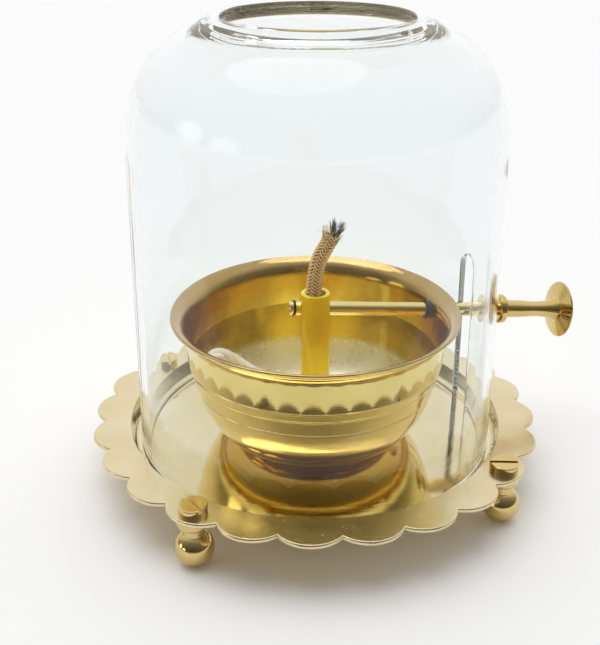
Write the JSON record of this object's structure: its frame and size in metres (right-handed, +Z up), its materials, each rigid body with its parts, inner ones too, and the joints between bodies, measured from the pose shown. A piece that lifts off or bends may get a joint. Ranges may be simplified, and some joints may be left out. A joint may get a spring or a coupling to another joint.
{
  "type": "oil lamp",
  "caption": "Brass oil lamp with a scalloped footed plate, an oil bowl, a wick in a tube with a knob that raises it, and a lift-off glass chimney.",
  "frame": {"origin": "on the table plane, on the upright axis of the plate, bowl and chimney", "axes": "+Z up, +X the horizontal direction in which the adjuster rod leaves the lamp"},
  "size_m": [0.1651, 0.148, 0.1482],
  "materials": {
    "polished_brass": "polished brass",
    "clear_glass": "clear blown glass",
    "cotton": "braided cotton",
    "dark_rubber": "dark rubber",
    "dark_steel": "blackened spring steel",
    "fibre": "vulcanised fibre"
  },
  "bodies": {
    "lamp_base": {"base_plate": "polished_brass", "foot_back_left": "polished_brass", "foot_back_right": "polished_brass", "foot_front_left": "polished_brass", "foot_front_right": "polished_brass", "foot_screw_back_left": "polished_brass", "foot_screw_back_right": "polished_brass", "foot_screw_front_left": "polished_brass", "foot_screw_front_right": "polished_brass", "oil_bowl": "polished_brass", "tube_foot": "polished_brass", "wick_tube": "polished_brass", "centre_washer": "polished_brass", "centre_screw": "polished_brass", "rod_bracket": "polished_brass", "bowl_seal": "fibre", "rod_grommet": "dark_rubber", "wick_tail": "cotton"},
    "wick_adjuster": {"adjuster_rod": "polished_brass", "rod_retaining_ring": "dark_steel", "feed_wheel": "polished_brass", "knob": "polished_brass"},
    "wick_feed": {"wick": "cotton"},
    "chimney": {"glass_chimney": "clear_glass"}
  },
  "joints": [
    {"name": "knob_turn", "type": "hinge", "parent": "lamp_base", "child": "wick_adjuster", "pos_m": [0, 0.005, 0.0544], "axis": [0.9942, 0, -0.108], "range_deg": [-229, 171.5]},
    {"name": "wick_slide", "type": "slide", "parent": "lamp_base", "child": "wick_feed", "axis": [0, 0, 1], "range_m": [-0.009, 0.012]},
    {"name": "chimney_lift", "type": "slide", "parent": "lamp_base", "child": "chimney", "axis": [0, 0, 1], "range_m": [0, 0.12]}
  ],
  "couplings": [
    {"joint": "wick_slide", "follows": "knob_turn", "m_per_rad": -0.003}
  ]
}
